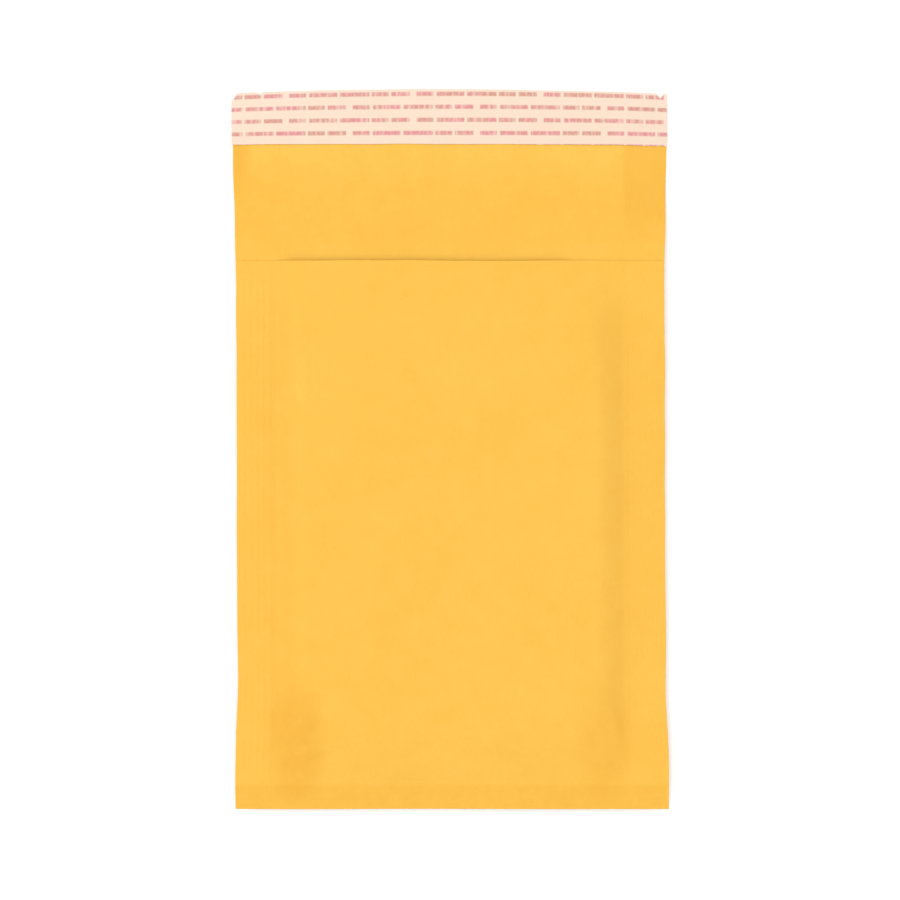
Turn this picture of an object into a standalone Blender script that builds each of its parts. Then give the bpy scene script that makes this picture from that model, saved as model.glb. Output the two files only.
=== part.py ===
"""Padded mailing envelope, lying on its rear panel with the flap open.

X runs across the envelope, +Y from the bottom fold to the flap's free edge, +Z up.
The origin is under the middle of the whole outline, on the surface it lies on.
All sizes are metres.
"""
import math

import bmesh
import bpy

# Outline
SHEET_WIDTH = 0.1308          # kraft web, edge to edge where it lies flat
BODY_LENGTH = 0.1656          # bottom fold to the mouth edge of the front panel
FLAP_LENGTH = 0.0515          # mouth edge to the flap's free edge, at its middle
WAIST_PULL = 0.0009           # how far the padding draws each side edge in
FLAP_BOW = 0.0012             # the free edge is this much shorter at the corners

# Seams and padding
SEAM_WIDTH = 0.0125           # flat pressed band down each side
BAND_WIDTH = 0.0075           # flat pressed band above the bottom fold
SHOULDER_WIDTH = 0.0080       # from the seam's crease up to the full padding
HEEL_LENGTH = 0.0220          # from the bottom band up to the full padding
PAPER = 0.0002
FILM = 0.0003                 # the two films welded together in the seams
PAD = 0.0023                  # bubble film, dome to backing
LIP_PAD = 0.0005              # the same where the cut bubbles along the mouth lie flat
GAP = 0.00025                 # clearance between pieces that touch
STACK = 2 * PAPER + 2 * GAP + FILM
SEAM_LIFT = 0.0022            # underside of the seams above the ground
HEIGHT_LOW = 0.0070           # total height just above the bottom heel
HEIGHT_OPEN = 0.0104          # total height where the pocket stands open
LIP_LENGTH = 0.0140           # stretch before the mouth over which the padding thins
LIP_DROP = 0.0021             # the front panel comes down by this much over that stretch
LIP_RISE = 0.0018             # and the rear panel goes up by this much
EDGE_DROOP = 0.0007           # the front panel's bare edge, past the lining, hangs lower still
CROWN_WIDTH = 0.0300          # the front panel goes on rising this far in from the crease
CROWN_SHARE = 0.22            # the part of its height that it gains past the shoulder
FLAP_LIFT = 0.0010            # the free edge stands this far off the ground
FLAP_ARCH = 0.0007            # the flap bows up between the mouth and the free edge
FLAP_SETTLE = 0.032           # length over which the flap leaves the seams' shape
LINING_INSET = 0.0025         # the lining stops this far inside the mouth
LINING_MARGIN = 0.0008        # and this far inside the side edges

# Adhesive and its cover
LINER_WIDTH = 0.1316
LINER_DEPTH = 0.0160
LINER_BOW = 0.0005            # its lower edge drops this much at the corners
LINER = 0.00012
GLUE_WIDTH = 0.1270
GLUE_DEPTH = 0.0120
GLUE_INSET = 0.0020           # below the flap's free edge
GLUE = 0.00020
THIN_GAP = 0.00020            # clearance under the adhesive and under the liner

# Small V nicks in the free edge, cut through flap and liner: x, half width, depth
NICKS = ((-0.0577, 0.0008, 0.0011), (0.0632, 0.0008, 0.0016))

# Grid lines
FOLD_STEPS = 6
BODY_ROW_STEP = 0.015
FLAP_ROW_STEP = 0.0062
SHOULDER_STEPS = 4
HEEL_STEPS = 6
LIP_STEPS = 4

TOTAL_LENGTH = BODY_LENGTH + FLAP_LENGTH
FOLD_Y = -TOTAL_LENGTH / 2
MOUTH_Y = FOLD_Y + BODY_LENGTH
FREE_Y = TOTAL_LENGTH / 2
BAND_Y = FOLD_Y + BAND_WIDTH
HALF_WIDTH = SHEET_WIDTH / 2
CREASE_X = HALF_WIDTH - SEAM_WIDTH


def clamp(value):
    return min(1.0, max(0.0, value))


def smooth(value):
    t = clamp(value)
    return t * t * (3 - 2 * t)


def swell(value):
    """Quarter sine: leaves a crease at 0 and arrives level at 1."""
    return math.sin(clamp(value) * math.pi / 2)


def waist(y):
    """Scale across the envelope: 1 where it is flat, less where the padding draws it in."""
    below = smooth((y - BAND_Y) / 0.030)
    above = 1 - smooth((y - MOUTH_Y + 0.010) / 0.045)
    return 1 - WAIST_PULL / HALF_WIDTH * below * above


def fill(x, y, rise=SHOULDER_WIDTH):
    """0 in the pressed seams, 1 where the envelope is fully padded. x is before the waist."""
    shoulder = swell((CREASE_X - abs(x)) / rise)
    heel = swell((y - BAND_Y) / HEEL_LENGTH)
    return shoulder * heel


def lip(y):
    """0 inside the envelope, 1 at the mouth, where the padding has thinned out."""
    return smooth((y - MOUTH_Y + LIP_LENGTH) / LIP_LENGTH)


def total_height(y):
    opened = swell((y - BAND_Y) / (0.8 * (MOUTH_Y - BAND_Y)))
    droop = EDGE_DROOP * clamp((y - MOUTH_Y + LINING_INSET) / LINING_INSET)
    return HEIGHT_LOW + (HEIGHT_OPEN - HEIGHT_LOW) * opened - LIP_DROP * lip(y) - droop


def pad_depth(x, y):
    """Thickness of one wall of the lining: bare film in the seams, bubbles between them."""
    bubbles = PAD + (LIP_PAD - PAD) * lip(y)
    return FILM / 2 + (bubbles - FILM / 2) * fill(x, y)


def rear_under(x, y):
    """Underside of the rear panel and the flap."""
    filled = fill(x, min(y, MOUTH_Y))
    body = SEAM_LIFT * (1 - filled) + LIP_RISE * lip(y) * filled
    margin = clamp((abs(x) - CREASE_X) / SEAM_WIDTH)
    arch = FLAP_ARCH * math.sin(math.pi * clamp((y - MOUTH_Y) / FLAP_LENGTH))
    flap = (FLAP_LIFT + arch) * (1 - 0.6 * margin)
    settled = smooth((y - MOUTH_Y) / FLAP_SETTLE)
    return body + (flap - body) * settled


def front_top(x, y):
    """Upper side of the front panel: steep over the shoulder, then a low crown."""
    seam = SEAM_LIFT + STACK
    pillow = (1 - CROWN_SHARE) * fill(x, y) + CROWN_SHARE * fill(x, y, CROWN_WIDTH)
    return seam + (total_height(y) - seam) * pillow


def free_edge(x):
    """The flap's free edge: slightly bowed, with the two nicks."""
    y = FREE_Y - FLAP_BOW * (x / HALF_WIDTH) ** 2
    for nick_x, half, depth in NICKS:
        y -= depth * clamp(1 - abs(x - nick_x) / half)
    return y


def liner_lower_edge(x):
    return FREE_Y - LINER_DEPTH - LINER_BOW * (x / HALF_WIDTH) ** 2


def shoulder_columns():
    """Grid lines over one side's shoulder, crease first."""
    step = SHOULDER_WIDTH / SHOULDER_STEPS
    return [CREASE_X - step * k for k in range(SHOULDER_STEPS + 1)]


def mirrored(columns):
    return sorted({round(x, 7) for x in columns} | {round(-x, 7) for x in columns})


def nick_columns():
    return [nick_x + half * k for nick_x, half, _ in NICKS for k in (-1, 0, 1)]


def body_rows():
    """Y of the grid lines from the bottom band to the mouth."""
    rows = [BAND_Y + HEEL_LENGTH * (k / HEEL_STEPS) ** 1.3 for k in range(HEEL_STEPS + 1)]
    start = rows[-1]
    run = MOUTH_Y - LIP_LENGTH - start
    count = math.ceil(run / BODY_ROW_STEP)
    rows += [start + run * k / count for k in range(1, count + 1)]
    start = rows[-1]
    run = LIP_LENGTH - LINING_INSET
    rows += [start + run * k / LIP_STEPS for k in range(1, LIP_STEPS + 1)]
    return rows


def new_object(name, bm, material):
    bmesh.ops.recalc_face_normals(bm, faces=bm.faces)
    mesh = bpy.data.meshes.new(name)
    bm.to_mesh(mesh)
    bm.free()
    mesh.materials.append(material)
    obj = bpy.data.objects.new(name, mesh)
    bpy.context.collection.objects.link(obj)
    mesh.shade_smooth()
    mesh.set_sharp_from_angle(angle=math.radians(35))
    return obj


def finish(name, color, roughness, alpha=1.0):
    material = bpy.data.materials.new(name)
    material.use_nodes = True
    shader = material.node_tree.nodes["Principled BSDF"]
    shader.inputs["Base Color"].default_value = (*color, 1.0)
    shader.inputs["Roughness"].default_value = roughness
    shader.inputs["Metallic"].default_value = 0.0
    shader.inputs["Alpha"].default_value = alpha
    material.diffuse_color = (*color, alpha)
    return material


def sheet_solid(name, upper, lower, material):
    """Closed solid between two equal grids of points, upper and lower, with walls all round."""
    bm = bmesh.new()
    top = [[bm.verts.new(p) for p in row] for row in upper]
    under = [[bm.verts.new(p) for p in row] for row in lower]
    rows = len(top) - 1
    columns = len(top[0]) - 1
    for j in range(rows):
        for i in range(columns):
            for skin in (top, under):
                bm.faces.new((skin[j][i], skin[j][i + 1], skin[j + 1][i + 1], skin[j + 1][i]))
    for i in range(columns):
        for j in (0, rows):
            bm.faces.new((top[j][i], top[j][i + 1], under[j][i + 1], under[j][i]))
    for j in range(rows):
        for i in (0, columns):
            bm.faces.new((top[j][i], top[j + 1][i], under[j + 1][i], under[j][i]))
    return new_object(name, bm, material)


def make_kraft_sheet(material):
    """One web of kraft paper: front panel, bottom fold, rear panel and flap."""
    columns = mirrored([0.0, 0.015, 0.030, HALF_WIDTH] + shoulder_columns())
    columns = sorted(columns + nick_columns())
    band = [BAND_Y - BAND_WIDTH * 0.45]
    panel = band + body_rows() + [MOUTH_Y]
    fold_y = FOLD_Y + STACK / 2
    fold_z = SEAM_LIFT + STACK / 2
    outer = []
    inner = []

    def row_at(y, surface, sign):
        k = waist(y)
        outer.append([(x * k, y, surface(x, y)) for x in columns])
        inner.append([(x * k, y, surface(x, y) + sign * PAPER) for x in columns])

    for y in reversed(panel):
        row_at(y, front_top, -1)
    for step in range(FOLD_STEPS + 1):
        angle = math.pi * (0.5 + step / FOLD_STEPS)
        for skin, radius in ((outer, STACK / 2), (inner, STACK / 2 - PAPER)):
            y = fold_y + radius * math.cos(angle)
            z = fold_z + radius * math.sin(angle)
            skin.append([(x, y, z) for x in columns])
    for y in panel:
        row_at(y, rear_under, 1)
    flap_rows = math.ceil(FLAP_LENGTH / FLAP_ROW_STEP)
    for step in range(1, flap_rows + 1):
        part = step / flap_rows
        along = [MOUTH_Y + part * (free_edge(x) - MOUTH_Y) for x in columns]
        ends = [(x * waist(y), y, rear_under(x, y)) for x, y in zip(columns, along)]
        outer.append(ends)
        inner.append([(x, y, z + PAPER) for x, y, z in ends])
    return sheet_solid("kraft_sheet", outer, inner, material)


def make_bubble_lining(material):
    """Pouch of bubble film: padded walls, welded side seams, crushed bottom, open mouth."""
    columns = mirrored([0.0, 0.015, 0.030, HALF_WIDTH - LINING_MARGIN] + shoulder_columns())
    rows = [FOLD_Y + STACK / 2, BAND_Y - BAND_WIDTH * 0.45] + body_rows()
    first_column = 1
    last_column = len(columns) - 2
    first_row = 2
    last_row = len(rows) - 1
    bm = bmesh.new()

    def skin_vertex(i, j, wall):
        x = columns[i]
        y = rows[j]
        under = rear_under(x, y) + PAPER + GAP
        over = front_top(x, y) - PAPER - GAP
        depth = pad_depth(x, y)
        heights = {"over": over, "ceiling": over - depth, "floor": under + depth, "under": under}
        return bm.verts.new((x * waist(y), y, heights[wall]))

    def skin(wall):
        return [[skin_vertex(i, j, wall) for i in range(len(columns))] for j in range(len(rows))]

    def pocket(wall):
        grid = {}
        for j in range(first_row, last_row + 1):
            for i in range(first_column, last_column + 1):
                grid[i, j] = skin_vertex(i, j, wall)
        return grid

    over = skin("over")
    under = skin("under")
    ceiling = pocket("ceiling")
    floor = pocket("floor")
    rim = [key for key in floor if key[0] in (first_column, last_column) or key[1] == first_row]
    for key in rim:
        bm.verts.remove(floor[key])
        floor[key] = ceiling[key]

    for j in range(last_row):
        for i in range(len(columns) - 1):
            for grid in (over, under):
                bm.faces.new((grid[j][i], grid[j][i + 1], grid[j + 1][i + 1], grid[j + 1][i]))
    for j in range(first_row, last_row):
        for i in range(first_column, last_column):
            for grid in (ceiling, floor):
                bm.faces.new((grid[i, j], grid[i + 1, j], grid[i + 1, j + 1], grid[i, j + 1]))
    for j in range(last_row):
        for i in (0, len(columns) - 1):
            bm.faces.new((over[j][i], over[j + 1][i], under[j + 1][i], under[j][i]))
    for i in range(len(columns) - 1):
        bm.faces.new((over[0][i], over[0][i + 1], under[0][i + 1], under[0][i]))
    end = last_row
    for i in range(first_column, last_column):
        bm.faces.new((over[end][i], over[end][i + 1], ceiling[i + 1, end], ceiling[i, end]))
        bm.faces.new((under[end][i], under[end][i + 1], floor[i + 1, end], floor[i, end]))
    for edge, seam in ((0, first_column), (len(columns) - 1, last_column)):
        bm.faces.new((over[end][edge], over[end][seam], ceiling[seam, end],
                      under[end][seam], under[end][edge]))
    return new_object("bubble_lining", bm, material)


def flap_band(low, high, columns, rise, thickness):
    """Upper and lower grids of a thin band lying on the flap, rise above its upper side."""
    upper = []
    lower = []
    steps = 3
    for step in range(steps + 1):
        near = []
        far = []
        for x in columns:
            y = low(x) + (high(x) - low(x)) * step / steps
            z = rear_under(x, y) + PAPER + rise
            near.append((x, y, z + thickness))
            far.append((x, y, z))
        upper.append(near)
        lower.append(far)
    return upper, lower


def band_columns(half):
    """Grid lines across the flap that follow its creases, out to half."""
    return mirrored([0.0, 0.015, 0.030, half] + shoulder_columns()[::2])


def make_adhesive_strip(material):
    """Band of hot-melt adhesive along the flap, straight edged, short of the flap's edges."""
    high = FREE_Y - FLAP_BOW - GLUE_INSET
    columns = band_columns(GLUE_WIDTH / 2)
    upper, lower = flap_band(lambda x: high - GLUE_DEPTH, lambda x: high, columns, THIN_GAP, GLUE)
    return sheet_solid("adhesive_strip", upper, lower, material)


def make_release_liner(material):
    """Peel-off cover of the adhesive, as wide as the flap, nicked with it."""
    columns = sorted(band_columns(LINER_WIDTH / 2) + nick_columns())
    rise = 2 * THIN_GAP + GLUE
    upper, lower = flap_band(liner_lower_edge, free_edge, columns, rise, LINER)
    return sheet_solid("release_liner", upper, lower, material)


def main():
    for obj in list(bpy.data.objects):
        bpy.data.objects.remove(obj)
    make_kraft_sheet(finish("golden_kraft", (0.86, 0.49, 0.075), 0.82))
    make_bubble_lining(finish("clear_bubble_film", (0.86, 0.88, 0.90), 0.25, 0.6))
    make_adhesive_strip(finish("hot_melt_adhesive", (0.82, 0.74, 0.52), 0.30))
    make_release_liner(finish("printed_liner", (0.93, 0.70, 0.62), 0.45))


main()
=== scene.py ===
"""Finish of the padded envelope: kraft paper with pressed seams, bubble film, adhesive, printed liner."""

import math

import bpy
import numpy as np
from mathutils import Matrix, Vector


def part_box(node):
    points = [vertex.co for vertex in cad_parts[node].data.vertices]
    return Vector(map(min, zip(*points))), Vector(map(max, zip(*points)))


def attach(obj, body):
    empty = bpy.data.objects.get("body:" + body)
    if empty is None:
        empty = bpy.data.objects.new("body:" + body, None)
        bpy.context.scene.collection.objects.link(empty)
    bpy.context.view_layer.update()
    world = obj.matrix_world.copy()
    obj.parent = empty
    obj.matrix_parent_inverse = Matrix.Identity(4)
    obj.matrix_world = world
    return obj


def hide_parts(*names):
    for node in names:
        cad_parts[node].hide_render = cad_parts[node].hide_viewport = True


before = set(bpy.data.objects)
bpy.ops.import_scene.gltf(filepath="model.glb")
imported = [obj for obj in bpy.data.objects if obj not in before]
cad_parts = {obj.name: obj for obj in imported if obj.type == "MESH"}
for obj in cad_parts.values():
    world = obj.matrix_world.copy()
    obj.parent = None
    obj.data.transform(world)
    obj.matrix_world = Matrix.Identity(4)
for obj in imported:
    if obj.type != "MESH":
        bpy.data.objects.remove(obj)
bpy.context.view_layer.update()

# ---------------------------------------------------------------- sizes, in metres, from the frame
MM = 0.001
SHEET_LOW, SHEET_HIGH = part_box("kraft_sheet")
LINING_LOW, LINING_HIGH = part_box("bubble_lining")
GLUE_LOW, GLUE_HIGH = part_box("adhesive_strip")
LINER_LOW, LINER_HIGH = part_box("release_liner")

HALF_WIDTH = SHEET_HIGH.x
FOLD_Y = SHEET_LOW.y
FREE_Y = SHEET_HIGH.y
TOP_Z = SHEET_HIGH.z
FLAP_LENGTH = 51.5 * MM
MOUTH_Y = FREE_Y - FLAP_LENGTH
SEAM_WIDTH = 12.5 * MM
BAND_WIDTH = 7.5 * MM
CREASE_X = HALF_WIDTH - SEAM_WIDTH
BAND_Y = FOLD_Y + BAND_WIDTH

PAPER = 0.16 * MM             # kraft paper
FILM = 0.12 * MM              # one bubble film's backing
SLIP = 0.06 * MM              # clearance between layers that touch
PAD = 2.3 * MM                # bubble film, dome to backing
LIP_PAD = 0.5 * MM            # the same along the mouth, where the cut bubbles lie flat
SEAM_FILM = 0.07 * MM         # each film where the seams are pressed
SEAM_STACK = 2 * PAPER + 2 * SEAM_FILM + 2 * 0.02 * MM
SEAM_MIDDLE = 2.8 * MM        # height of the middle of the pressed seams
HEIGHT_LOW = 7.0 * MM         # total height above the bottom heel
HEIGHT_OPEN = 10.1 * MM       # total height where the pocket stands open
LIP_LENGTH = 22.0 * MM        # the panels close towards the mouth over this length
LIP_RISE = 2.4 * MM           # height of the rear panel's underside at the mouth
MOUTH_GAP = 0.72 * MM         # how far the front panel's edge stands off the flap
MOUTH_OPEN_TO = 38.0 * MM     # right of this the front panel's edge lies on the flap
HEEL_LENGTH = 22.0 * MM
CROWN_WIDTH = 30.0 * MM
CROWN_SHARE = 0.22
WAIST_PULL = 0.9 * MM
FLAP_BOW = 1.2 * MM
FLAP_LIFT = 1.0 * MM
FLAP_ARCH = 0.7 * MM
FLAP_SETTLE = 32.0 * MM
GROUND = 0.02 * MM            # nothing of the paper lies lower than this

SIDE_RIB_PITCH = 2.0 * MM     # marks of the sealing bars
FOLD_RIB_PITCH = 1.65 * MM
RIB_DEPTH = 0.09 * MM
BUBBLE_PITCH = 11.0 * MM
BUBBLE_RADIUS = 4.8 * MM
NICKS = ((-57.2 * MM, 0.8 * MM, 1.4 * MM), (63.7 * MM, 1.0 * MM, 1.8 * MM))


# ---------------------------------------------------------------- curves and waves
def clamp(value):
    return np.clip(value, 0.0, 1.0)


def smooth(value):
    t = clamp(value)
    return t * t * (3 - 2 * t)


def swell(value):
    """Quarter sine: leaves a crease at 0 and arrives level at 1."""
    return np.sin(clamp(value) * math.pi / 2)


def hump(value):
    """0 at 0 and 1, 1 half way."""
    return np.sin(clamp(value) * math.pi)


def cockle(x, y, length, seed, across=1.0):
    """Uneven waviness of paper, mostly within -1 to 1. across above 1 shortens it along X."""
    draw = np.random.default_rng(seed)
    waves = 16
    total = np.zeros(np.broadcast(x, y).shape)
    for _ in range(waves):
        turn = draw.uniform(0, 2 * math.pi)
        size = length * draw.uniform(0.65, 1.7)
        start = draw.uniform(0, 2 * math.pi)
        run = (x * math.cos(turn) * across + y * math.sin(turn)) / size
        total += np.sin(2 * math.pi * run + start)
    return total / math.sqrt(waves)


def groove(x, y, start, end, width):
    """1 along the middle of a straight crease from start to end, fading to its sides and ends."""
    along = np.array(end) - np.array(start)
    reach = math.hypot(*along)
    along = along / reach
    part = ((x - start[0]) * along[0] + (y - start[1]) * along[1]) / reach
    off = (x - start[0]) * along[1] - (y - start[1]) * along[0]
    return np.exp(-((off / width) ** 2)) * hump(part) ** 0.5


# ---------------------------------------------------------------- the envelope's form
def waist(y):
    below = smooth((y - BAND_Y) / (30 * MM))
    above = 1 - smooth((y - MOUTH_Y + 10 * MM) / (45 * MM))
    return 1 - WAIST_PULL / HALF_WIDTH * below * above


def lean(y):
    """The outline leans a little to the left towards its free edge."""
    return 0.35 * MM - 0.9 * MM * (y - FOLD_Y) / (FREE_Y - FOLD_Y)


def lip(y):
    return smooth((y - MOUTH_Y + LIP_LENGTH) / LIP_LENGTH)


def shoulder_width(x, y):
    """Steep on the left at the mouth, easy on the right."""
    near_mouth = smooth((y - MOUTH_Y + 45 * MM) / (45 * MM))
    right = 9 * MM + 5 * MM * near_mouth
    left = 9 * MM - 3 * MM * near_mouth
    return np.where(x > 0, right, left)


def fill(x, y, rise=None):
    """0 in the pressed seams, 1 where the envelope is fully padded."""
    rise = shoulder_width(x, y) if rise is None else rise
    inward = (CREASE_X - np.abs(x)) / rise
    side = 0.6 * swell(inward) + 0.4 * smooth(inward)
    heel = swell((y - BAND_Y) / HEEL_LENGTH)
    return side * heel


def seam_ribs(x, y):
    """Fine ridges pressed into the side seams and above the bottom fold."""
    in_side = smooth((np.abs(x) - CREASE_X) / (1.2 * MM)) * smooth((HALF_WIDTH - np.abs(x)) / (0.8 * MM))
    in_side = in_side * smooth((y - BAND_Y) / (4 * MM)) * smooth((MOUTH_Y + 2 * MM - y) / (6 * MM))
    in_band = smooth((BAND_Y - y) / (1.2 * MM)) * smooth((y - FOLD_Y - 0.6 * MM) / (0.8 * MM))
    patch = 0.65 + 0.35 * cockle(x, y, 30 * MM, seed=21)
    side = np.sin(2 * math.pi * x / SIDE_RIB_PITCH)
    band = np.sin(2 * math.pi * (y - FOLD_Y) / FOLD_RIB_PITCH)
    bar_edge = np.exp(-(((np.abs(x) - CREASE_X - 0.5 * MM) / (0.7 * MM)) ** 2)) * in_side
    return RIB_DEPTH * (patch * (in_side * side + in_band * band) - 1.6 * bar_edge)


def bubble_centres():
    """Centres of the film's air bubbles, in close rows."""
    pitch = BUBBLE_PITCH
    row_step = pitch * math.sqrt(3) / 2
    rows = int((MOUTH_Y - BAND_Y) / row_step) + 1
    across = int(CREASE_X / pitch) + 1
    for row in range(rows):
        y = BAND_Y + 4 * MM + row * row_step
        for column in range(-across, across + 1):
            x = (column + 0.5 * (row % 2)) * pitch
            if abs(x) < CREASE_X - 1.5 * MM and y < MOUTH_Y:
                yield x, y


def telegraph(x, y):
    """The bubbles showing through: 1 over a bubble's crown, 0 between bubbles."""
    row_step = BUBBLE_PITCH * math.sqrt(3) / 2
    first = BAND_Y + 4 * MM
    nearest = np.full(np.broadcast(x, y).shape, 1.0)
    base = np.round((y - first) / row_step)
    for step in (-1, 0, 1):
        row = base + step
        shift = 0.5 * np.mod(row, 2)
        column = np.round(x / BUBBLE_PITCH - shift)
        off = np.hypot(x - (column + shift) * BUBBLE_PITCH, y - first - row * row_step)
        nearest = np.minimum(nearest, off)
    return 1 - smooth(nearest / (BUBBLE_RADIUS * 1.15))


def seam_middle(x, y):
    """Height of the pressed seams, which wave a little along the edges."""
    edge = smooth((np.abs(x) - CREASE_X + 6 * MM) / SEAM_WIDTH)
    end = smooth((BAND_Y + 6 * MM - y) / BAND_WIDTH)
    wave = 0.30 * cockle(x * 0.2, y, 60 * MM, seed=5) * edge
    wave = wave + 0.22 * cockle(x, y * 0.2, 55 * MM, seed=6) * end
    return SEAM_MIDDLE + MM * wave


def creases(x, y):
    """Folds that run from the padding into its corners, and short puckers along the shoulders."""
    low = BAND_Y + 1 * MM
    side = CREASE_X - 0.5 * MM
    total = np.zeros(np.broadcast(x, y).shape)
    for hand, reach in ((-1, 1.0), (1, 1.15)):
        corner = (hand * side, low)
        total = total - 0.50 * groove(x, y, corner, (hand * (side - 13 * MM * reach), low + 20 * MM), 1.3 * MM)
        total = total - 0.38 * groove(x, y, corner, (hand * (side - 19 * MM * reach), low + 11 * MM), 1.1 * MM)
        total = total + 0.32 * groove(x, y, corner, (hand * (side - 6 * MM), low + 30 * MM * reach), 1.4 * MM)
        inside = (side - hand * x) / (14 * MM)
        near_side = smooth(inside * 5) * (1 - smooth(inside))
        strength = smooth(0.5 + 0.9 * cockle(0 * x, y, 45 * MM, seed=31 + hand))
        total = total + 0.20 * near_side * strength * cockle(0.25 * x, y, 8 * MM, seed=41 + hand)
    above_band = (y - BAND_Y) / (16 * MM)
    near_band = smooth(above_band * 4) * (1 - smooth(above_band))
    total = total + 0.15 * near_band * cockle(x, 0.25 * y, 9 * MM, seed=51)
    return MM * total


def seam_half(y):
    """Half the thickness of the pressed seams, thinner where the papers meet past the lining."""
    past = smooth((y - LINING_HIGH.y - 0.4 * MM) / (1.2 * MM))
    return SEAM_STACK / 2 + (PAPER + 0.02 * MM - SEAM_STACK / 2) * past


def mouth_gap(x):
    """The slit between the front panel's edge and the flap: widest at its left end."""
    left_end = smooth((x + CREASE_X - 0.5 * MM) / (6 * MM))
    right_end = 1 - smooth((x - MOUTH_OPEN_TO + 7 * MM) / (9 * MM))
    easing = 1.15 - 0.30 * smooth((x + CREASE_X) / (2 * CREASE_X)) + 0.10 * cockle(x, 0 * x, 35 * MM, seed=63)
    return MOUTH_GAP * left_end * right_end * easing


def front_top(x, y):
    """Upper side of the front panel."""
    seam = seam_middle(x, y) + seam_half(y)
    opened = swell((y - BAND_Y) / (0.8 * (MOUTH_Y - BAND_Y)))
    height = HEIGHT_LOW + (HEIGHT_OPEN - HEIGHT_LOW) * opened
    filled = fill(x, y)
    pillow = (1 - CROWN_SHARE) * filled + CROWN_SHARE * fill(x, y, CROWN_WIDTH)
    slack = 0.24 * cockle(x, y, 42 * MM, seed=1) + 0.09 * cockle(x, y, 15 * MM, seed=2)
    crown = 0.15 * MM * telegraph(x, y) * filled
    body = seam + (height - seam) * pillow + MM * slack * filled + crown + creases(x, y)
    closed = rear_body(x, y) + 2 * PAPER + 0.02 * MM + mouth_gap(x)
    closing = 0.5 * lip(y) + 0.5 * clamp((y - MOUTH_Y + LIP_LENGTH) / LIP_LENGTH) ** 2
    closing = closing * smooth((CREASE_X - np.abs(x)) / (1.5 * MM))
    return body + (closed - body) * closing + seam_ribs(x, y)


def rear_body(x, y):
    """Underside of the rear panel."""
    seam = seam_middle(x, y) - seam_half(y)
    filled = fill(x, y)
    lifted = seam * (1 - filled) + LIP_RISE * lip(y) * filled
    pucker = 0.3 * creases(x, y) + 0.03 * MM * (1 - telegraph(x, y)) * filled
    return np.maximum(lifted + pucker, GROUND) + seam_ribs(x, y)


def flap_under(x, y):
    """Underside of the flap: it keeps the seams' creases, and its right margin hangs lower."""
    along = clamp((y - MOUTH_Y) / FLAP_LENGTH)
    middle = FLAP_LIFT + FLAP_ARCH * hump(along)
    margin = clamp((np.abs(x) - CREASE_X) / SEAM_WIDTH)
    right = (x > 0) * smooth((y - MOUTH_Y - 4 * MM) / (7 * MM)) * 1.5 * MM * margin
    left = (x < 0) * 0.30 * MM * margin
    corner = clamp((-x - y * 0.35 - CREASE_X + 35 * MM) / (12 * MM))
    dog_ear = 0.5 * MM * (x < 0) * corner ** 2 * smooth((y - 82 * MM) / (8 * MM))
    slack = 0.16 * cockle(x, y, 30 * MM, seed=11) + 0.075 * cockle(x, y, 11 * MM, seed=12)
    settled = smooth((y - MOUTH_Y) / FLAP_SETTLE)
    loose = MM * slack * smooth((y - MOUTH_Y) / (10 * MM)) * (1 - 0.55 * smooth((y - 84 * MM) / (8 * MM)))
    body = rear_body(x, np.minimum(y, MOUTH_Y))
    flat = middle - right - left - dog_ear + loose
    return np.maximum(body + (flat - body) * settled, GROUND)


def rear_under(x, y):
    return np.where(y > MOUTH_Y, flap_under(x, y), rear_body(x, np.minimum(y, MOUTH_Y)))


def free_edge(x):
    """The flap's free edge: slightly bowed, with two nicks and a clipped left corner."""
    left = (x / HALF_WIDTH) ** 2
    right = np.hypot(x / HALF_WIDTH, 0.18) - 0.18
    y = FREE_Y - FLAP_BOW * np.where(x < 0, left, right * 1.2)
    for nick_x, half, depth in NICKS:
        y = y - depth * clamp(1 - np.abs(x - nick_x) / half)
    clipped = clamp((-x - HALF_WIDTH + 1.2 * MM) / (1.2 * MM))
    return y - 2.2 * MM * clipped


def mouth_edge(x):
    """The front panel's edge stops a little short of the flap's fold, and isn't cut quite straight."""
    return -0.35 * MM + 0.10 * MM * cockle(x, 0 * x, 28 * MM, seed=61)


def placed(x, y, z):
    """Points of the envelope from flat sheet positions: drawn in at the waist, leaning a little."""
    return np.stack(np.broadcast_arrays(x * waist(y) + lean(y), y, z), -1)


# ---------------------------------------------------------------- meshes
def spread(stops):
    """Grid lines from stops of (position, step to the next stop)."""
    lines = []
    for (start, step), (end, _) in zip(stops, stops[1:]):
        count = max(1, round((end - start) / step))
        lines.extend(start + (end - start) * k / count for k in range(count))
    lines.append(stops[-1][0])
    return np.array(lines)


def sheet_columns(half, seam_step, shoulder_step, middle_step):
    """Grid lines across a sheet, closest in the seams, with the nicks' own lines."""
    right = [(0, middle_step), (CREASE_X - 12 * MM, shoulder_step), (CREASE_X, seam_step), (half, 0)]
    side = spread(right)
    nicks = [x + half_nick * k for x, half_nick, _ in NICKS for k in (-1, 0, 1)]
    return np.unique(np.round(np.concatenate((-side, side, nicks)), 7))


def body_rows(band_step, heel_step, middle_step, end):
    """Grid lines up a panel from the middle of the bottom fold."""
    fold = FOLD_Y + SEAM_STACK / 2
    stops = [(fold, band_step), (BAND_Y, heel_step), (BAND_Y + HEEL_LENGTH, middle_step),
             (MOUTH_Y - LIP_LENGTH, heel_step), (end, 0)]
    return spread(stops)


def quads(ids, turned=False):
    """Faces over a grid of vertex numbers."""
    a, b, c, d = ids[:-1, :-1], ids[:-1, 1:], ids[1:, 1:], ids[1:, :-1]
    ring = (a, d, c, b) if turned else (a, b, c, d)
    return np.stack(ring, -1).reshape(-1, 4).tolist()


def wall(first, second):
    """Faces between two equal lines of vertex numbers."""
    return np.stack((first[:-1], first[1:], second[1:], second[:-1]), -1).tolist()


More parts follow.
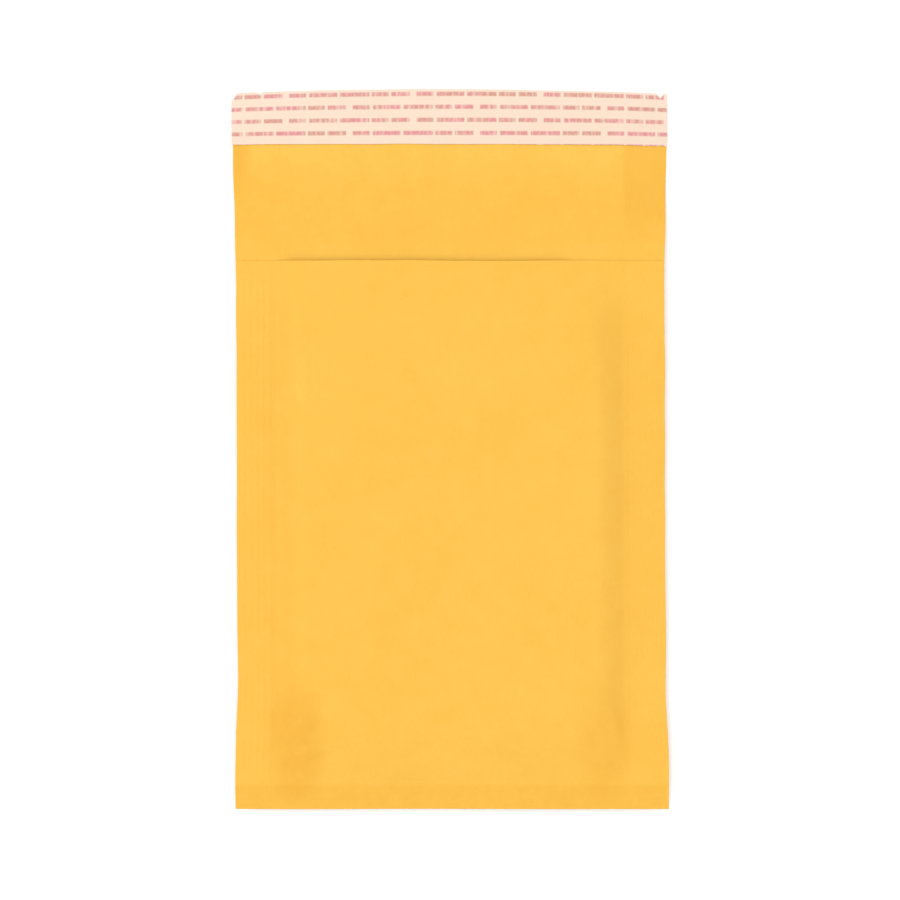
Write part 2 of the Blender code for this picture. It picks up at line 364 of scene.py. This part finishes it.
def new_piece(name, points, faces, material, sharp_above=40.0):
    mesh = bpy.data.meshes.new(name)
    mesh.from_pydata(points.reshape(-1, 3).tolist(), [], faces)
    mesh.validate()
    mesh.materials.append(material)
    mesh.shade_smooth()
    mesh.set_sharp_from_angle(angle=math.radians(sharp_above))
    piece = bpy.data.objects.new(name, mesh)
    bpy.context.scene.collection.objects.link(piece)
    return piece


def normals(grid):
    """Unit normals of a grid of points, on the side from which its rows and columns turn left."""
    across = np.gradient(grid, axis=1)
    along = np.gradient(grid, axis=0)
    normal = np.cross(across, along)
    return normal / np.linalg.norm(normal, axis=-1, keepdims=True)


def closed_sheet(name, outer, inner, material):
    """Thin closed solid between two equal grids. outer faces the way its rows turn from its columns."""
    rows, columns = outer.shape[:2]
    ids = np.arange(2 * rows * columns).reshape(2, rows, columns)
    top, under = ids
    faces = quads(top) + quads(under, turned=True)
    faces += wall(under[0], top[0]) + wall(top[-1], under[-1])
    faces += wall(top[:, 0], under[:, 0]) + wall(under[:, -1], top[:, -1])
    return new_piece(name, np.stack((outer, inner)), faces, material)


def make_kraft_sheet(material):
    """The paper web: front panel down to the fold, round it, up the rear panel and along the flap."""
    columns = sheet_columns(HALF_WIDTH, 0.5 * MM, 1.0 * MM, 1.7 * MM)[None, :]
    panel = body_rows(0.42 * MM, 1.0 * MM, 1.6 * MM, MOUTH_Y)
    front_y = panel[::-1, None] + mouth_edge(columns) * smooth((panel[::-1, None] - MOUTH_Y + 12 * MM) / (12 * MM))
    front = placed(columns, front_y, front_top(columns, np.minimum(front_y, MOUTH_Y)))
    turns = np.linspace(0.5, 1.5, 11)[1:-1, None] * math.pi
    round_y = FOLD_Y + SEAM_STACK / 2 * (1 + np.cos(turns))
    middle = seam_middle(columns, FOLD_Y + SEAM_STACK / 2 + 0 * turns)
    fold = placed(columns, round_y, middle + SEAM_STACK / 2 * np.sin(turns))
    rear = placed(columns, panel[:, None], rear_under(columns, panel[:, None]))
    part = spread([(0, 0.024), (1, 0)])[1:, None]
    flap_y = MOUTH_Y + part * (free_edge(columns) - MOUTH_Y)
    flap = placed(columns, flap_y, rear_under(columns, flap_y))
    outer = np.concatenate((front, fold, rear, flap))
    edge = np.abs(columns[0]) / HALF_WIDTH
    wander = 0.12 * MM * cockle(outer[..., 1], np.sign(columns) * 0.02, 24 * MM, seed=71)
    outer[..., 0] += wander * smooth((edge - 0.9) * 10)
    outer = outer[::-1]
    inner = outer - normals(outer) * PAPER
    return closed_sheet("kraft_paper", outer, inner, material)


def lining_heights(x, y):
    """Heights of the lining's backing, upper wall then lower wall, as (outside, inside) each."""
    filled = fill(x, y)
    slip = 0.02 * MM + (SLIP - 0.02 * MM) * filled
    over = front_top(x, y) - PAPER - slip
    under = rear_under(x, y) + PAPER + slip
    bubbles = PAD + (LIP_PAD - PAD) * lip(y)
    depth = np.clip((bubbles - FILM) * filled, 0, np.maximum((over - under) / 2 - FILM, 0))
    belly = 0.22 * MM * telegraph(x, y) * filled * (1 - 0.6 * lip(y))
    upper = over - depth
    lower = under + depth
    middle = (upper + lower) / 2
    return upper, np.maximum(upper - FILM - belly, middle), np.minimum(lower + FILM + belly, middle), lower


def make_lining_film(material):
    """The lining's flat film: a pouch welded at its sides and bottom, open at the mouth."""
    margin = 0.8 * MM
    side = spread([(0, 1.5 * MM), (CREASE_X, 1.0 * MM), (HALF_WIDTH - margin, 0)])
    x = np.unique(np.round(np.concatenate((-side, side)), 7))[None, :]
    y = body_rows(1.2 * MM, 1.4 * MM, 1.6 * MM, LINING_HIGH.y)[:, None]
    heights = lining_heights(x, y)
    points = np.stack([placed(x, y + 0 * z, z) for z in heights])
    rows, columns = points.shape[1:3]
    over, ceiling, floor, under = np.arange(4 * rows * columns).reshape(4, rows, columns)
    left = int(np.argmin(np.abs(x[0] + CREASE_X)))
    right = int(np.argmin(np.abs(x[0] - CREASE_X)))
    low = int(np.argmin(np.abs(y[:, 0] - BAND_Y)))
    floor = floor.copy()
    floor[low, left:right + 1] = ceiling[low, left:right + 1]
    floor[low:, left] = ceiling[low:, left]
    floor[low:, right] = ceiling[low:, right]
    pocket = (slice(low, None), slice(left, right + 1))
    faces = quads(over) + quads(under, turned=True)
    faces += quads(ceiling[pocket], turned=True) + quads(floor[pocket])
    faces += wall(under[0], over[0]) + wall(over[:, 0], under[:, 0]) + wall(under[:, -1], over[:, -1])
    faces += wall(over[-1, :left + 1], under[-1, :left + 1]) + wall(over[-1, right:], under[-1, right:])
    faces += wall(over[-1, left:right + 1], ceiling[-1, left:right + 1])
    faces += wall(floor[-1, left:right + 1], under[-1, left:right + 1])
    faces.append([int(over[-1, left]), int(ceiling[-1, left]), int(under[-1, left])])
    faces.append([int(ceiling[-1, right]), int(over[-1, right]), int(under[-1, right])])
    used = np.unique(np.concatenate([np.array(face) for face in faces]))
    renumber = np.full(4 * rows * columns, -1)
    renumber[used] = np.arange(len(used))
    faces = [[int(renumber[k]) for k in face] for face in faces]
    return new_piece("lining_film", points.reshape(-1, 3)[used], faces, material)


def dome_profile(part):
    """Height of a bubble's skin from its rim, part 1, to its flat crown, part 0."""
    return np.sqrt(np.maximum(1 - part ** 4, 0))


def make_lining_bubbles(material):
    """The lining's blown bubbles, each a thin cup on the backing that presses against the paper."""
    rings = (1.0, 0.97, 0.88, 0.70, 0.40)
    segments = 20
    skin = 0.07 * MM
    turns = np.arange(segments) * 2 * math.pi / segments
    part = np.append(np.repeat(rings, segments), 0.0)
    turn = np.append(np.tile(turns, len(rings)), 0.0)
    shell = len(part)
    centre = np.array(list(bubble_centres()))
    domes = []
    for hand in (1, -1):
        for radius, thin in ((BUBBLE_RADIUS, 0.0), (BUBBLE_RADIUS - skin, skin)):
            x = np.clip(centre[:, :1] + radius * part * np.cos(turn), -CREASE_X, CREASE_X)
            y = np.minimum(centre[:, 1:] + radius * part * np.sin(turn), LINING_HIGH.y)
            upper, _, _, lower = lining_heights(x, y)
            if hand > 0:
                backing = upper
                room = front_top(x, y) - PAPER - SLIP - upper
            else:
                backing = lower
                room = lower - rear_under(x, y) - PAPER - SLIP
            lift = np.maximum(room, 0.05 * MM) * np.sqrt(np.maximum(1 - part ** 4, 0)) * 0.97
            lift = lift - np.minimum(thin, lift * 0.5) + 0.02 * MM
            domes.append(placed(x, y, backing + hand * lift))
    points = np.stack((np.stack(domes[:2], 1), np.stack(domes[2:], 1)))
    around = np.arange(segments)
    after = np.roll(around, -1)
    cup = []
    for ring in range(len(rings) - 1):
        low = ring * segments
        cup.append(np.stack((low + around, low + after, low + segments + after, low + segments + around), -1))
    cup = np.concatenate(cup)
    last = (len(rings) - 1) * segments
    crown = np.stack((last + around, last + after, np.full(segments, shell - 1)), -1)
    rim = np.stack((after, around, shell + around, shell + after), -1)
    faces = []
    for hand in (0, 1):
        for dome in range(len(centre)):
            first = (hand * len(centre) + dome) * 2 * shell
            turned = slice(None, None, -1 if hand else 1)
            back = slice(None, None, 1 if hand else -1)
            faces += (first + cup[:, turned]).tolist() + (first + crown[:, turned]).tolist()
            faces += (first + shell + cup[:, back]).tolist() + (first + shell + crown[:, back]).tolist()
            faces += (first + rim[:, turned]).tolist()
    return new_piece("lining_bubbles", points, faces, material)


def flap_top(x, y):
    return rear_under(x, y) + PAPER


def make_adhesive(material):
    """Band of hot-melt adhesive, with rounded edges and a slightly uneven spread."""
    x = spread([(GLUE_LOW.x, 0.5 * MM), (GLUE_LOW.x + 3 * MM, 1.5 * MM),
                (GLUE_HIGH.x - 3 * MM, 0.5 * MM), (GLUE_HIGH.x, 0)])[None, :]
    y = spread([(GLUE_LOW.y, 0.25 * MM), (GLUE_LOW.y + 1.5 * MM, 0.8 * MM),
                (GLUE_HIGH.y - 1.5 * MM, 0.25 * MM), (GLUE_HIGH.y, 0)])[:, None]
    inset = np.minimum(np.minimum(x - GLUE_LOW.x, GLUE_HIGH.x - x), np.minimum(y - GLUE_LOW.y, GLUE_HIGH.y - y))
    rise = 0.05 * MM + 0.17 * MM * swell(inset / (1.1 * MM)) + 0.02 * MM * cockle(x, y, 5 * MM, seed=81)
    bed = flap_top(x, y) + 0.02 * MM
    wave = 0.25 * MM * cockle(x, 0 * y, 14 * MM, seed=82)
    upper = placed(x, y + wave, bed + np.maximum(rise, 0.03 * MM))
    lower = placed(x, y + wave, bed)
    return closed_sheet("hot_melt_band", upper, lower, material)


def liner_low(x):
    """The liner's lower edge, slightly bowed and not quite parallel to the flap."""
    bow = 0.3 * MM * (x / HALF_WIDTH) ** 2
    skew = 0.15 * MM * x / HALF_WIDTH
    return LINER_LOW.y - 0.1 * MM - bow - skew + 0.05 * MM * cockle(x, 0 * x, 20 * MM, seed=92)


def make_release_liner(material):
    """Peel-off tape over the adhesive, as wide as the flap, lying loose past the adhesive's edges."""
    half = LINER_HIGH.x
    columns = sheet_columns(half, 0.8 * MM, 1.2 * MM, 1.2 * MM)
    clipped = [-half + 0.6 * MM, -half + 0.3 * MM]
    x = np.unique(np.round(np.concatenate((columns, clipped)), 7))[None, :]
    part = np.linspace(0, 1, 19)[:, None]
    low = liner_low(x)
    y = low + part * (free_edge(np.clip(x, -HALF_WIDTH, HALF_WIDTH)) - low)
    cover = smooth((y - GLUE_LOW.y + 1 * MM) / (2 * MM)) * smooth((GLUE_HIGH.y + 1 * MM - y) / (2 * MM))
    slack = 0.035 * MM * cockle(x, y, 16 * MM, seed=91) + 0.05 * MM
    under = flap_top(np.clip(x, -HALF_WIDTH, HALF_WIDTH), y) + 0.06 * MM + 0.24 * MM * cover + slack
    lower = placed(x, y, under)
    upper = lower + normals(lower) * 0.08 * MM
    return closed_sheet("liner_tape", upper, lower, material)


# ---------------------------------------------------------------- finishes
class Value:
    """A number that varies over a surface. Arithmetic on it adds the Math nodes."""

    def __init__(self, finish, socket):
        self.finish = finish
        self.socket = socket

    def math(self, operation, *others, swapped=False, clamped=False):
        terms = (self, *others)
        terms = terms[::-1] if swapped else terms
        settings = {"operation": operation, "use_clamp": clamped}
        return self.finish.node("ShaderNodeMath", settings, dict(enumerate(terms)))

    def __add__(self, other):
        return self.math("ADD", other)

    def __sub__(self, other):
        return self.math("SUBTRACT", other)

    def __mul__(self, other):
        return self.math("MULTIPLY", other)

    def __truediv__(self, other):
        return self.math("DIVIDE", other)

    def __pow__(self, other):
        return self.math("POWER", other)

    def __mod__(self, other):
        return self.math("FLOORED_MODULO", other)

    def __gt__(self, other):
        return self.math("GREATER_THAN", other)

    def __lt__(self, other):
        return self.math("LESS_THAN", other)

    def __rsub__(self, other):
        return self.math("SUBTRACT", other, swapped=True)

    def __rtruediv__(self, other):
        return self.math("DIVIDE", other, swapped=True)

    def __neg__(self):
        return self * -1.0

    def __abs__(self):
        return self.math("ABSOLUTE")

    __radd__ = __add__
    __rmul__ = __mul__

    def clamped(self):
        return self.math("ADD", 0.0, clamped=True)

    def ramp(self, low, high):
        """0 below low, 1 above high, eased between them."""
        inputs = {"Value": self, "From Min": low, "From Max": high}
        return self.finish.node("ShaderNodeMapRange", {"interpolation_type": "SMOOTHSTEP"}, inputs)


class Finish:
    """A material's node tree, with the Principled shader that it feeds."""

    def __init__(self, name, roughness, **uniform):
        self.material = bpy.data.materials.new(name)
        self.material.use_nodes = True
        self.tree = self.material.node_tree
        self.shader = self.tree.nodes["Principled BSDF"]
        self.set(Roughness=roughness)
        for socket, value in uniform.items():
            self.feed(self.shader.inputs[socket.replace("_", " ")], value)

    def set(self, **values):
        for socket, value in values.items():
            self.feed(self.shader.inputs[socket.replace("_", " ")], value)

    def feed(self, socket, value):
        if isinstance(value, Value):
            self.tree.links.new(value.socket, socket)
        elif isinstance(value, tuple) and len(value) == 3 and socket.type == "RGBA":
            socket.default_value = (*value, 1.0)
        else:
            socket.default_value = value

    def node(self, kind, settings=None, inputs=None, output=0):
        """A node of that type: its settings first, then its sockets' values or links."""
        node = self.tree.nodes.new(kind)
        for key, setting in (settings or {}).items():
            setattr(node, key, setting)
        for key, value in (inputs or {}).items():
            self.feed(node.inputs[key], value)
        return Value(self, node.outputs[output])

    def place(self):
        """Position on the envelope, and its parts across, along and up, in millimetres."""
        where = self.node("ShaderNodeTexCoord", output=3)
        spot = self.node("ShaderNodeVectorMath", {"operation": "SCALE"}, {0: where, "Scale": 1000.0})
        parts = [self.node("ShaderNodeSeparateXYZ", inputs={0: spot}, output=k) for k in range(3)]
        return spot, parts

    def stretched(self, spot, x, y, z):
        return self.node("ShaderNodeVectorMath", {"operation": "MULTIPLY"}, {0: spot, 1: (x, y, z)})

    def noise(self, spot, scale, detail=3.0, roughness=0.55):
        inputs = {"Vector": spot, "Scale": scale, "Detail": detail, "Roughness": roughness}
        return self.node("ShaderNodeTexNoise", None, inputs)

    def blend(self, factor, low, high):
        """From colour low to colour high."""
        inputs = {0: factor, 6: low, 7: high}
        return self.node("ShaderNodeMix", {"data_type": "RGBA"}, inputs, output=2)

    def bump(self, height, distance, strength=1.0, under=None):
        inputs = {"Height": height, "Distance": distance, "Strength": strength}
        if under is not None:
            inputs["Normal"] = under
        return self.node("ShaderNodeBump", None, inputs)


def kraft_finish():
    """Golden-yellow kraft paper: long fibres, soft mottling, a fine felt-side grain, with painted shade on the
    flap's margins, the bottom corners and the fold band, and a painted highlight towards the release strip.
    """
    kraft = Finish("golden_kraft", 0.78, Specular_IOR_Level=0.25)
    spot, (x, y, z) = kraft.place()
    mottle = kraft.noise(spot, 0.16, detail=4.0, roughness=0.6)
    cloud = kraft.noise(spot, 0.035, detail=2.0)
    fibre_along = kraft.noise(kraft.stretched(spot, 3.2, 0.45, 3.2), 1.0, detail=3.0, roughness=0.65)
    fibre_across = kraft.noise(kraft.stretched(spot, 0.6, 2.8, 2.8), 1.0, detail=3.0, roughness=0.65)
    speck = kraft.noise(kraft.stretched(spot, 1.6, 0.7, 1.6), 1.0, detail=2.0).ramp(0.66, 0.78)
    blotch = kraft.noise(spot, 0.30, detail=3.0, roughness=0.7)

    flap = y.ramp(MOUTH_Y / MM + 2, MOUTH_Y / MM + 8)
    out = CREASE_X / MM
    # Painted shade: the flap's right margin, the upper part of the flap's left margin, the padding's bottom
    # corners (weaker on the right) and the bottom fold band are darkened in the paper's colour, broken up by
    # random blotches.
    right_margin = (x + (blotch - 0.5) * 2.0).ramp(out - 1.8, out) * y.ramp(MOUTH_Y / MM + 5, MOUTH_Y / MM + 16)
    left_margin = (-x).ramp(out + 6, out + 11) * y.ramp(MOUTH_Y / MM + 14, MOUTH_Y / MM + 32)
    across = (abs(x) - out + 6.5) / 10.0
    up = (y - BAND_Y / MM - 13) / 22.0
    corners = 1 - (across * across + up * up + (blotch - 0.5) * 1.2).ramp(0.05, 1.05)
    corners = corners * (1 - x.ramp(0, 20) * 0.45)
    band = 1 - y.ramp(BAND_Y / MM - 0.8, BAND_Y / MM + 0.6)
    painted_shade = right_margin * 0.50 + left_margin * 0.95 + corners * 0.85 + band * 0.44
    painted_shade = painted_shade * (1 + (blotch - 0.5) * 2.0)
    # Painted highlight: the flap's paper is lighter towards the release strip. The term flap * 0.25 also paints
    # the whole flap a little darker, as painted shade.
    painted_highlight = y.ramp(76, 91) * 0.55

    tone = 0.5 + (mottle - 0.5) * 0.9 + (cloud - 0.5) * 0.7 + (fibre_along - 0.5) * 1.1
    tone = tone + (blotch - 0.5) * flap * 0.9 + painted_highlight - flap * 0.25
    pale = (0.694, 0.400, 0.060)
    deep = (0.672, 0.359, 0.040)
    paper = kraft.blend(tone.clamped(), deep, pale)
    # The darker kraft colour that the painted shade blends towards.
    shaded_kraft = (0.630, 0.305, 0.024)
    paper = kraft.blend((painted_shade * 0.62).clamped(), paper, shaded_kraft)
    fibre_dark = (0.55, 0.27, 0.038)
    kraft.set(Base_Color=kraft.blend(speck * 0.20, paper, fibre_dark))
    grain = fibre_along * 0.6 + fibre_across * 0.4
    soft = kraft.bump(mottle, 0.25 * MM, 0.35)
    kraft.set(Normal=kraft.bump(grain, 0.08 * MM, 0.50, under=soft))
    kraft.set(Roughness=0.74 + grain * 0.10)
    return kraft.material


def film_finish():
    """Thin clear polyethylene, slightly milky."""
    film = Finish("bubble_film", 0.22, Base_Color=(0.90, 0.92, 0.93), Specular_IOR_Level=0.5)
    spot, _ = film.place()
    pull = film.noise(spot, 0.35, detail=3.0)
    haze = film.noise(film.stretched(spot, 0.3, 1.6, 1.0), 1.0, detail=2.0)
    film.set(Alpha=0.38 + haze * 0.20, Roughness=0.16 + haze * 0.16)
    film.set(Normal=film.bump(pull, 0.15 * MM, 0.25))
    return film.material


def bubble_finish():
    """The blown side of the film, thinner and clearer."""
    film = Finish("bubble_skin", 0.14, Base_Color=(0.92, 0.94, 0.95), Specular_IOR_Level=0.5)
    spot, _ = film.place()
    dimple = film.noise(spot, 0.9, detail=2.0)
    film.set(Alpha=0.26 + dimple * 0.12)
    film.set(Normal=film.bump(dimple, 0.2 * MM, 0.3))
    return film.material


def adhesive_finish():
    """Hot-melt adhesive, glossy and pale amber, with drag marks across."""
    glue = Finish("hot_melt", 0.25, Coat_Weight=0.3)
    spot, _ = glue.place()
    drag = glue.noise(glue.stretched(spot, 0.08, 1.8, 1.0), 1.0, detail=3.0)
    glue.set(Base_Color=glue.blend(drag, (0.72, 0.60, 0.36), (0.86, 0.77, 0.54)))
    glue.set(Normal=glue.bump(drag, 0.08 * MM, 0.5))
    return glue.material


def liner_finish():
    """Cream silicone paper with rows of fine pink dashes, staggered from row to row."""
    row_pitch = 3.96
    phrase = 38.4
    runs = ((1.0, 6.1), (7.1, 15.5), (16.3, 25.2), (25.9, 31.0), (31.8, 37.4))
    liner = Finish("printed_liner", 0.42, Specular_IOR_Level=0.4)
    spot, (x, y, z) = liner.place()
    bow = x * x * (1.0 / 65.4 ** 2)
    first = (FREE_Y / MM - 1.39) - bow * 1.1
    last = (FREE_Y / MM - 1.39 - 3 * row_pitch) - bow * 0.35
    depth = (first - y) / (first - last) * 3
    row = (depth + 0.5).math("FLOOR")
    off = abs(depth - row) * row_pitch
    run = ((x - 7.7) / phrase + (1 - row % 2.0) * 0.5).math("FRACT") * phrase
    inked = 0
    for start, end in runs:
        inked = run.ramp(start - 0.2, start + 0.2) * (1 - run.ramp(end - 0.2, end + 0.2)) + inked
    along = liner.node("ShaderNodeCombineXYZ", inputs={0: x * 0.95, 1: row * 5.3})
    dash = liner.noise(along, 1.0, detail=1.0, roughness=0.4).ramp(0.34, 0.50) * 0.45 + 0.55
    band = 1 - off.ramp(0.42, 0.86)
    wear = liner.noise(liner.stretched(spot, 1.1, 0.9, 1.0), 1.0, detail=2.0).ramp(0.25, 0.6) * 0.35 + 0.65
    ink = (inked * dash * band * wear).clamped()
    cloud = liner.noise(spot, 0.12, detail=3.0)
    paper = liner.blend(cloud, (0.648, 0.492, 0.370), (0.664, 0.532, 0.434))
    hue = liner.noise(liner.stretched(spot, 0.09, 0.3, 1.0), 1.0, detail=1.0).ramp(0.35, 0.65)
    pink = liner.blend(hue, (0.47, 0.200, 0.150), (0.54, 0.175, 0.195))
    liner.set(Base_Color=liner.blend(ink * 0.92, paper, pink))
    fibre = liner.noise(liner.stretched(spot, 2.5, 0.8, 1.0), 1.0, detail=3.0)
    liner.set(Roughness=0.38 + fibre * 0.12)
    liner.set(Normal=liner.bump(fibre, 0.03 * MM, 0.25))
    return liner.material


def floor_finish():
    floor = Finish("pale_table", 0.9, Base_Color=(0.93, 0.93, 0.93), Specular_IOR_Level=0.1)
    return floor.material


# ---------------------------------------------------------------- stage
def add_floor():
    half = 2.5
    corners = np.array([(-half, -half, 0), (half, -half, 0), (half, half, 0), (-half, half, 0)])
    floor = new_piece("table_top", corners + (0, 0, -0.02 * MM), [[0, 1, 2, 3]], floor_finish())


def add_light(name, place, size, power):
    lamp = bpy.data.lights.new(name, "AREA")
    lamp.shape = "SQUARE"
    lamp.size = size
    lamp.energy = power
    light = bpy.data.objects.new(name, lamp)
    light.location = place
    light.rotation_euler = (-light.location).to_track_quat("-Z", "Y").to_euler()
    bpy.context.scene.collection.objects.link(light)


def add_studio():
    scene = bpy.context.scene
    scene.view_settings.view_transform = "Standard"
    scene.view_settings.look = "None"
    world = bpy.data.worlds.new("white_studio")
    scene.world = world
    world.use_nodes = True
    sky = world.node_tree.nodes["Background"]
    sky.inputs["Color"].default_value = (1.0, 1.0, 1.0, 1.0)
    sky.inputs["Strength"].default_value = 1.34
    add_light("upper_left_softbox", (-0.80, 0.45, 1.20), 1.4, 5.0)


def add_camera():
    """Straight above the envelope, with the flap at the top of the picture."""
    lens = 100.0
    sensor = 36.0
    field = 271.2 * MM
    view = bpy.data.cameras.new("overhead")
    view.lens = lens
    view.sensor_width = sensor
    camera = bpy.data.objects.new("overhead", view)
    camera.location = (-0.35 * MM, -0.36 * MM, SEAM_MIDDLE + field * lens / sensor)
    bpy.context.scene.collection.objects.link(camera)
    bpy.context.scene.camera = camera


def main():
    pouch = make_lining_film(film_finish())
    pieces = [
        (make_kraft_sheet(kraft_finish()), "kraft_sheet"),
        (pouch, "bubble_lining"),
        (make_lining_bubbles(bubble_finish()), "bubble_lining"),
        (make_adhesive(adhesive_finish()), "adhesive_strip"),
        (make_release_liner(liner_finish()), "release_liner"),
    ]
    for piece, node in pieces:
        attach(piece, "root")
        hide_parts(node)
    add_floor()
    add_studio()
    add_camera()


main()
